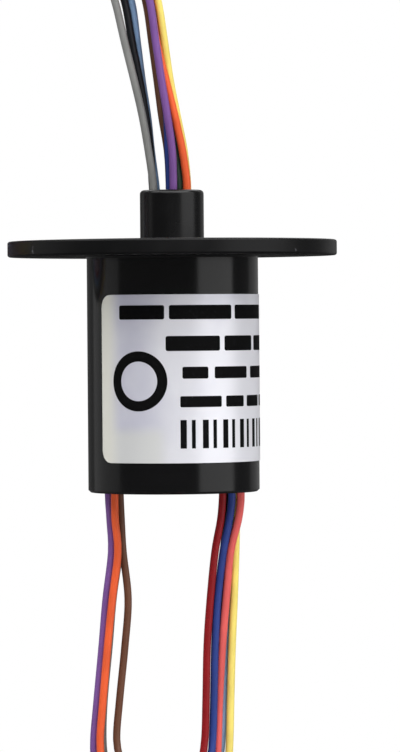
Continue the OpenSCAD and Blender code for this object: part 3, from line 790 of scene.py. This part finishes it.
@dataclass
class StatorLeads(Loom):
    """The leads that leave the two slots downwards and come together above their hank."""

    mouth: float = -29.9
    levels: Sequence[float] = (0, -1.5, -4, -8, -14, -20, -27, -32)
    places: Sequence[Sequence[Place]] = (
        ((6.9, 0.4), (6.9, 0.4), (6.8, 0.35), (6.3, 0.2), (5.9, 0.2), (5.4, 0.2),
         (5.0, 0.35), (4.8, 0.2)),
        ((-6.95, 0.3), (-6.95, 0.3), (-7.0, 0.3), (-7.1, 0.5), (-7.95, 0.3), (-8.5, 0.4),
         (-9.2, 0.4), (-9.4, 0.3)),
        ((7.4, 1.4), (7.4, 1.4), (7.4, 1.4), (7.0, 1.1), (6.8, 0.85), (6.4, 0.75),
         (6.1, 0.7), (5.9, 0.7)),
        ((-8.4, -1.15), (-8.35, -1.15), (-8.2, -1.05), (-8.05, -1.3), (-8.8, -1.4),
         (-9.35, -1.4), (-10.05, -1.5), (-10.5, -1.6)),
        ((-7.6, -1.85), (-7.6, -1.85), (-7.55, -1.95), (-7.25, -2.0), (-8.0, -2.1),
         (-8.65, -2.2), (-9.3, -2.2), (-9.7, -2.3)),
        ((7.4, -0.75), (7.4, -0.75), (7.05, -0.8), (6.25, -0.95), (5.5, -0.95),
         (5.1, -1.1), (4.9, -1.3), (4.7, -1.5)),
        ((-6.95, -0.85), (-6.9, -0.85), (-6.8, -0.85), (-6.6, -0.75), (-6.0, -0.8),
         (-6.45, -0.8), (-7.2, -0.9), (-7.6, -1.1)),
        ((-8.05, -0.1), (-8.05, -0.1), (-8.05, 0.0), (-7.9, -0.2), (-8.7, -0.35),
         (-9.25, -0.3), (-9.9, -0.4), (-10.3, -0.5)),
        ((6.25, -0.9), (6.2, -0.95), (5.95, -1.0), (5.2, -1.2), (4.55, -1.4), (4.1, -1.5),
         (3.9, -1.7), (3.7, -1.9)),
        ((7.95, 0.45), (7.95, 0.45), (7.95, 0.5), (7.85, 0.35), (7.6, 0.1), (7.3, 0.1),
         (7.05, 0.2), (6.9, 0.2)),
        ((8.55, -0.5), (8.55, -0.5), (8.2, -0.6), (7.2, -0.5), (6.6, -0.7), (6.05, -0.65),
         (5.6, -0.5), (5.4, -0.7)),
        ((-7.6, 1.2), (-7.6, 1.2), (-7.5, 1.2), (-7.7, 1.35), (-8.6, 1.15), (-9.1, 1.25),
         (-9.8, 1.25), (-10.0, 1.2)),
    )
    neck_depth: float = 50.0
    neck_middle: Place = (-2.5, -5.1)
    order: Sequence[int] = (6, 2, 11, 1, 0, 9, 3, 5, 4, 10, 7, 8)
    neck_steps: int = 6
    left_group: Place = (-9.6, -0.6)
    right_group: Place = (5.2, -0.7)

    def hank(self) -> Hank:
        """The hank hangs below the barrel, its folds towards the back."""
        end = Vector((*self.neck_middle, self.mouth - self.neck_depth))
        return Hank(neck_end=end, side=1)

    def over(self, k: int) -> Route:
        """Bring a lead down to the neck, together with the rest.

        Args:
            k: The lead, counted from nought.

        Returns:
            The points of that way.
        """
        start, last = self.places[k][-1], self.levels[-1]
        group = self.left_group if start[0] < 0 else self.right_group
        loose = (start[0] - group[0], start[1] - group[1])
        points: Route = []
        for i in range(1, self.neck_steps + 1):
            t = i / self.neck_steps
            place = self.gathered(loose, self.slots[self.order[k]], t)
            x, y = (g + (n - g) * ease(t) + p
                    for g, n, p in zip(group, self.neck_middle, place))
            points.append(Vector((x, y, self.mouth + last - (self.neck_depth + last) * t)))
        return points


@dataclass
class LeadSet:
    """One side's twelve leads with their bare ends, in the looms' millimetres."""

    loom: Loom
    body: str
    tip_length: float = 4.0
    tip_sunk: float = 0.2
    tip_d: float = 0.38
    tip_taper: float = 0.9
    tip_sides: int = 10

    def tips(self, ends: Iterable[tuple[Vector, Vector]]) -> Piece:
        """Build the tinned ends that stand out of the cut insulation.

        Args:
            ends: Each lead's cut end and the way it points there.

        Returns:
            One piece for all of them.
        """
        bm = bmesh.new()
        radius = self.tip_d / 2
        for end, way in ends:
            middle = (end + way * (self.tip_length / 2 - self.tip_sunk)) * MM
            turn = way.to_track_quat("Z", "Y").to_matrix().to_4x4()
            bmesh.ops.create_cone(bm, cap_ends=True, segments=self.tip_sides,
                                  radius1=radius * MM, radius2=radius * self.tip_taper * MM,
                                  depth=self.tip_length * MM,
                                  matrix=Matrix.Translation(middle) @ turn)
        return new_mesh(f"{self.body}_lead_tips", bm, self.body)

    def build(self, finishes: dict[Lead, Material], tin: Material) -> None:
        """Lay the leads and their tinned ends, and hide the frame's bundled hank.

        Args:
            finishes: The insulation of each circuit.
            tin: The finish of the bare ends.
        """
        laid = []
        for k, circuit in enumerate(Lead):
            node = f"{self.body}_lead_{k + 1:02d}"
            route = self.loom.route(k)
            name = f"{self.body}_wire_{circuit.name.lower()}"
            piece, end, way = self.loom.lay(name, node, self.body, route, finishes[circuit])
            laid.append((piece, route[0], end, way))
        tips = self.tips((end, way) for _, _, end, way in laid)
        dress(tips, tin)
        for piece, start, _, _ in laid:
            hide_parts(f"{self.body}_lead_hank")
        LOG.info("%s leads: %d of %.0f mm", self.body, len(laid), self.loom.length)


# ---- label ----

@dataclass(frozen=True)
class PrintLine:
    """One line of plain blocks: where it starts, how tall it is and how wide each block is."""

    start: float
    top: float
    height: float
    gap: float
    widths: tuple[float, ...]


@dataclass
class Label:
    """The film around the barrel, with plain blocks, a ring mark and upright bars for print.

    Lengths are in millimetres, along the film from its left edge and up from the flange's seat.
    """

    radius: float = 11.0
    thickness: float = 0.1
    start_deg: float = 54.0
    length: float = 34.0
    top: float = -4.95
    height: float = 21.3
    corner: float = 1.6
    ink: float = 0.012
    facet: float = 0.5
    weld: float = 1e-6
    corner_steps: int = 5
    lines: Sequence[PrintLine] = (
        PrintLine(3.25, -6.3, 1.8, 0.6, (6.2, 8.6, 7.4, 4.2)),
        PrintLine(9.6, -10.2, 1.9, 0.7, (7.2, 5.4, 5.8)),
        PrintLine(11.7, -14.1, 1.5, 0.9, (3.4, 5.6, 6.2)),
        PrintLine(11.4, -17.8, 1.4, 0.7, (5.6, 3.2, 3.6, 3.4)),
    )
    block_corner: float = 0.14
    ring_at: Place = (6.0, -15.9)
    ring_outer: float = 3.8
    ring_inner: float = 2.5
    ring_steps: int = 64
    bars: int = 14
    bars_at: Place = (11.4, -20.8)
    bar_height: float = 3.6
    bar_pitch: float = 1.45
    bar_widths: tuple[float, ...] = (0.8, 0.5)

    def bend(self, bm: Shape, radius: float) -> None:
        """Roll a flat shape onto the barrel.

        Args:
            bm: The shape, drawn as (along, level, 0).
            radius: How far from the axis it comes to lie.
        """
        for vert in bm.verts:
            along, level = vert.co.x, vert.co.y
            angle = math.radians(-90 - self.start_deg) + along / (self.radius + self.thickness)
            vert.co = Vector((radius * math.cos(angle), radius * math.sin(angle), level))

    def cut_across(self, bm: Shape) -> None:
        """Cut a flat shape into narrow strips so that it can follow the barrel.

        Args:
            bm: The shape, drawn as (along, level, 0).
        """
        steps = int(self.length / self.facet)
        for i in range(1, steps):
            x = self.length * i / steps
            bmesh.ops.bisect_plane(bm, geom=bm.verts[:] + bm.edges[:] + bm.faces[:],
                                   dist=self.weld, plane_co=(x, 0, 0), plane_no=(1, 0, 0))

    def wrapped(self, name: str, flat: Shape, lift: float, depth: float) -> Piece:
        """Roll a flat shape onto the barrel and give it its thickness.

        Args:
            name: The piece's name.
            flat: The flat shape in millimetres. It is used up.
            lift: How far its underside stands off the barrel.
            depth: Its thickness.

        Returns:
            The finished piece.
        """
        self.cut_across(flat)
        self.bend(flat, self.radius + lift)
        bmesh.ops.recalc_face_normals(flat, faces=flat.faces[:])
        for face in flat.faces:
            middle = face.calc_center_median()
            if face.normal.dot(Vector((middle.x, middle.y, 0))) < 0:
                face.normal_flip()
        bmesh.ops.solidify(flat, geom=flat.faces[:], thickness=-depth)
        bmesh.ops.recalc_face_normals(flat, faces=flat.faces[:])
        bmesh.ops.scale(flat, vec=(MM, MM, MM), verts=flat.verts[:])
        return new_mesh(name, flat, "stator")

    def plate(self, bm: Shape, x: float, z: float, w: float, h: float, corner: float) -> None:
        """Draw one flat plate.

        Args:
            bm: The flat shape that it joins.
            x: Its left edge.
            z: Its top.
            w: Its width.
            h: Its height.
            corner: The rounding of its corners, or nought.
        """
        grid = bmesh.ops.create_grid(bm, x_segments=1, y_segments=1, size=0.5)
        verts = grid["verts"]
        bmesh.ops.scale(bm, vec=(w, h, 1), verts=verts)
        bmesh.ops.translate(bm, vec=(x + w / 2, z - h / 2, 0), verts=verts)
        if corner > 0:
            bmesh.ops.bevel(bm, geom=verts, offset=corner, offset_type="OFFSET",
                            segments=self.corner_steps, profile=0.5, affect="VERTICES",
                            material=-1)

    def film(self) -> Piece:
        """Build the film itself."""
        flat = bmesh.new()
        self.plate(flat, 0, self.top, self.length, self.height, self.corner)
        return self.wrapped("label_film", flat, 0, self.thickness)

    def ring_mark(self, bm: Shape) -> None:
        """Draw a plain flat ring.

        Args:
            bm: The flat shape that it joins.
        """
        circle = bmesh.ops.create_circle(bm, segments=self.ring_steps, radius=self.ring_outer)
        edges = dict.fromkeys(edge for vert in circle["verts"] for edge in vert.link_edges)
        rim = bmesh.ops.extrude_edge_only(bm, edges=list(edges))
        inside = [g for g in rim["geom"] if isinstance(g, bmesh.types.BMVert)]
        share = self.ring_inner / self.ring_outer
        bmesh.ops.scale(bm, vec=(share, share, 1), verts=inside)
        bmesh.ops.translate(bm, vec=(*self.ring_at, 0), verts=circle["verts"] + inside)

    def print_marks(self) -> Piece:
        """Build the print: the lines of blocks, the ring mark and the row of upright bars."""
        flat = bmesh.new()
        for line in self.lines:
            x = line.start
            for width in line.widths:
                self.plate(flat, x, line.top, width, line.height, line.height * self.block_corner)
                x += width + line.gap
        self.ring_mark(flat)
        x, top = self.bars_at
        for i in range(self.bars):
            self.plate(flat, x, top, self.bar_widths[i % len(self.bar_widths)], self.bar_height, 0)
            x += self.bar_pitch
        return self.wrapped("label_print", flat, self.thickness, self.ink)

    def build(self, film: Material, ink: Material) -> None:
        """Build the film and its print.

        Args:
            film: The finish of the film.
            ink: The finish of the print.
        """
        base = self.film()
        dress(base, film)
        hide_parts("label")
        marks = self.print_marks()
        dress(marks, ink)
        LOG.info("label: %.0f mm by %.1f mm", self.length, self.height)


# ---- carried-over solids ----

class Finishes:
    """Every finish of the solids that the frame brings, by its slot in the record."""

    def __init__(self) -> None:
        """Build each finish once."""
        moulded, metal = MouldedPlastic, WorkedMetal
        slots: dict[str, Finish] = {
            "body_black": moulded("moulded_nylon_black", "#09090a", 0.17, ior=1.46, flanged=True),
            "cap_black": moulded("moulded_nylon_cap", "#0b0b0c", 0.26),
            "rotor_black": moulded("turned_acetal_black", "#0a0a0b", 0.27, ior=1.46),
            "carrier_resin": moulded("cast_epoxy_amber", "#b99b5c", 0.3),
            "board_green": moulded("glass_epoxy_board", "#2f5d3a", 0.35),
            "potting_black": moulded("poured_epoxy_black", "#1b1b1d", 0.25, grain_depth=0.0),
            "tie_black": moulded("moulded_tie_black", "#17171a", 0.45),
            "lead_bundle": moulded("bundled_insulation", "#8a6a66", 0.4),
            "spring_steel": metal("stamped_spring_steel", "#8d9096", 0.32),
            "bearing_steel": metal("ground_bearing_steel", "#bfc3c8", 0.22),
            "cage_bronze": metal("pressed_bronze", "#c08a45", 0.3),
            "ball_steel": metal("polished_ball_steel", "#dcdee2", 0.08, turning_depth=0.0),
            "gold_wire": metal("drawn_gold_alloy", "#e0b867", 0.2, turning_depth=0.0),
            "ring_gold": metal("turned_hard_gold", "#e3b654", 0.18),
            "label_foil": LabelFilm(),
        }
        self.by_slot = {slot: finish.build() for slot, finish in slots.items()}
        self.leads = {circuit: ExtrudedInsulation(f"insulation_{circuit.name.lower()}",
                                                  circuit.value).build() for circuit in Lead}

    def dress_nodes(self) -> None:
        """Dress every solid of the frame by the slot that the record gives it."""
        slots = {part["node"]: part["material_slot"] for part in frame["record"]["subparts"]}
        lead_slots = {f"lead_{circuit.name.lower()}": self.leads[circuit] for circuit in Lead}
        for node, piece in frame["nodes"].items():
            slot = slots[node]
            dress(piece, self.by_slot.get(slot) or lead_slots[slot])
        LOG.info("dressed %d solids", len(frame["nodes"]))


# ---- stage ----

@dataclass
class Softbox:
    """One soft lamp that faces the object, in metres. A brightness of one is white in a mirror."""

    name: str
    azimuth: float
    elevation: float
    distance: float
    width: float
    height: float
    brightness: float

    def build(self, target: Vector) -> None:
        """Hang the lamp: azimuth 0 is in front of the object and turns towards +X.

        Args:
            target: The point that it faces, in metres.
        """
        a, e = math.radians(self.azimuth), math.radians(self.elevation)
        way = Vector((math.sin(a) * math.cos(e), -math.cos(a) * math.cos(e), math.sin(e)))
        lamp = bpy.data.lights.new(self.name, "AREA")
        lamp.shape = "RECTANGLE"
        lamp.size = self.width
        lamp.size_y = self.height
        lamp.energy = self.brightness * math.pi * self.width * self.height
        holder = bpy.data.objects.new(self.name, lamp)
        holder.location = target + way * self.distance
        holder.rotation_euler = way.to_track_quat("Z", "Y").to_euler()
        bpy.context.scene.collection.objects.link(holder)


@dataclass
class Studio:
    """The pale floor and backdrop, the lamps and the camera.

    The camera's lengths and the aim are in millimetres, the floor's and its light's in metres.
    """

    eye_level: float = -8.5
    distance: float = 575.0
    frame_height: float = 96.6
    frame_middle: Place = (3.5, -15.4)
    roll_deg: float = -0.45
    sensor: float = 36.0
    clip: Range = (0.01, 20.0)
    aim_level: float = -10.0
    floor_half: float = 1.6
    floor_gap: float = 0.0005
    floor_white: float = 0.6
    floor_roughness: float = 0.85
    mottle_mm: float = 60.0
    mottle_stops: Range = (0.3, 0.7)
    mottle_colours: tuple[str, str] = ("#e9e9eb", "#efeff0")
    shadow_reach: Range = (0.15, 0.45)
    room_light: float = 0.06
    # how bright the white background is in the object's shine, which shows a dark room
    mirror_light: float = 0.1
    lamps: Sequence[Softbox] = field(default_factory=lambda: (
        Softbox("key", 61, 0, 0.6, 0.6, 0.8, 1.05),
        Softbox("front", 12, 27, 0.8, 0.8, 0.35, 1.3),
        Softbox("side", -105, 0, 0.6, 0.65, 0.8, 0.28),
        Softbox("rear", 145, 0, 0.6, 0.45, 0.8, 0.17),
        Softbox("ceiling_right", 40, 50, 0.9, 1.0, 0.7, 2.6),
        Softbox("ceiling_left", -50, 50, 0.9, 1.0, 0.7, 2.3),
        Softbox("ceiling_back", 180, 55, 0.9, 1.2, 0.7, 1.6),
    ))

    def floor_material(self) -> Material:
        """Matt painted board, white to the eye and, like the room, dimmer in the object's shine.

        Near the object some of the lit paint shows, so that the shadow stays.
        """
        material, shader, place = start_material("rolled_matt_paint")
        mottle = add_node(material, "ShaderNodeTexNoise", None, {
            **sized(place, self.mottle_mm), "Detail": 3.0})
        tone = add_node(material, "ShaderNodeValToRGB", None, {"Fac": mottle})
        set_ramp(tone, self.mottle_stops, [linear(colour) for colour in self.mottle_colours])
        set_sockets(material, shader, {"Roughness": self.floor_roughness, "Base Color": tone})
        path = add_node(material, "ShaderNodeLightPath")
        seen = add_node(material, "ShaderNodeMath", {"operation": "MAXIMUM"}, {
            0: path.outputs["Is Camera Ray"], 1: path.outputs["Is Transmission Ray"]})
        mirrored = add_node(material, "ShaderNodeEmission", None, {"Strength": self.mirror_light})
        lit = add_node(material, "ShaderNodeMixShader", None, {
            0: path.outputs["Is Glossy Ray"], 1: shader, 2: mirrored})
        reach = add_node(material, "ShaderNodeVectorMath", {"operation": "LENGTH"}, {0: place})
        zone = add_node(material, "ShaderNodeMapRange", None, {
            "Value": reach.outputs["Value"],
            **spans(self.shadow_reach, (self.floor_white, 1.0))})
        share = add_node(material, "ShaderNodeMath", {"operation": "MULTIPLY"}, {0: seen, 1: zone})
        white = add_node(material, "ShaderNodeEmission", None, {"Strength": 1.0})
        mix = add_node(material, "ShaderNodeMixShader", None, {0: share, 1: lit, 2: white})
        set_sockets(material, material.node_tree.nodes["Material Output"], {"Surface": mix})
        return material

    def build_floor(self, low: float) -> None:
        """Lay the floor.

        Args:
            low: The object's lowest level, in metres.
        """
        bm = bmesh.new()
        bmesh.ops.create_grid(bm, x_segments=1, y_segments=1, size=self.floor_half)
        bmesh.ops.translate(bm, vec=(0, 0, low - self.floor_gap), verts=bm.verts[:])
        mesh = bpy.data.meshes.new("floor")
        bm.to_mesh(mesh)
        bm.free()
        floor = bpy.data.objects.new("floor", mesh)
        bpy.context.scene.collection.objects.link(floor)
        mesh.materials.append(self.floor_material())

    def build_world(self) -> None:
        """Fill the room with dim light, white behind the object and dimmer in its shine."""
        world = bpy.data.worlds.new("room")
        world.use_nodes = True
        path = add_node(world, "ShaderNodeLightPath")
        level: Node | float = self.room_light
        for ray, strength in (("Is Glossy Ray", self.mirror_light), ("Is Transmission Ray", 1.0),
                              ("Is Camera Ray", 1.0)):
            step = add_node(world, "ShaderNodeMath", {"operation": "MULTIPLY"}, {
                0: path.outputs[ray], 1: strength})
            level = add_node(world, "ShaderNodeMath", {"operation": "MAXIMUM"}, {
                0: step, 1: level})
        set_sockets(world, world.node_tree.nodes["Background"], {
            "Color": (1.0, 1.0, 1.0, 1.0), "Strength": level})
        bpy.context.scene.world = world

    def build_camera(self) -> None:
        """Set the camera level in front of the object, with a slight roll."""
        data = bpy.data.cameras.new("camera")
        data.sensor_width = self.sensor
        data.lens = self.sensor * self.distance / self.frame_height
        data.shift_y = (self.frame_middle[1] - self.eye_level) / self.frame_height
        data.clip_start, data.clip_end = self.clip
        camera = bpy.data.objects.new("camera", data)
        eye = Vector((self.frame_middle[0], -self.distance, self.eye_level)) * MM
        level = Matrix.Rotation(math.radians(90), 4, "X")
        roll = Matrix.Rotation(math.radians(self.roll_deg), 4, "Z")
        camera.matrix_world = Matrix.Translation(eye) @ level @ roll
        bpy.context.scene.collection.objects.link(camera)
        bpy.context.scene.camera = camera

    def build(self) -> None:
        """Build the whole stage around the object."""
        self.build_floor(CAD_BOX[0][2])
        self.build_world()
        for lamp in self.lamps:
            lamp.build(Vector((0, 0, self.aim_level)) * MM)
        self.build_camera()
        bpy.context.scene.view_settings.view_transform = "Standard"


def main() -> None:
    """Build every piece in order, then the stage."""
    logging.basicConfig(level=logging.INFO, format="%(name)s: %(message)s")
    finishes = Finishes()
    finishes.dress_nodes()
    LeadSet(RotorLeads(), "rotor").build(finishes.leads, finishes.by_slot["spring_steel"])
    LeadSet(StatorLeads(), "stator").build(finishes.leads, finishes.by_slot["spring_steel"])
    Label().build(finishes.by_slot["label_foil"], PrintedInk().build())
    Studio().build()


if __name__ == "__main__":
    main()
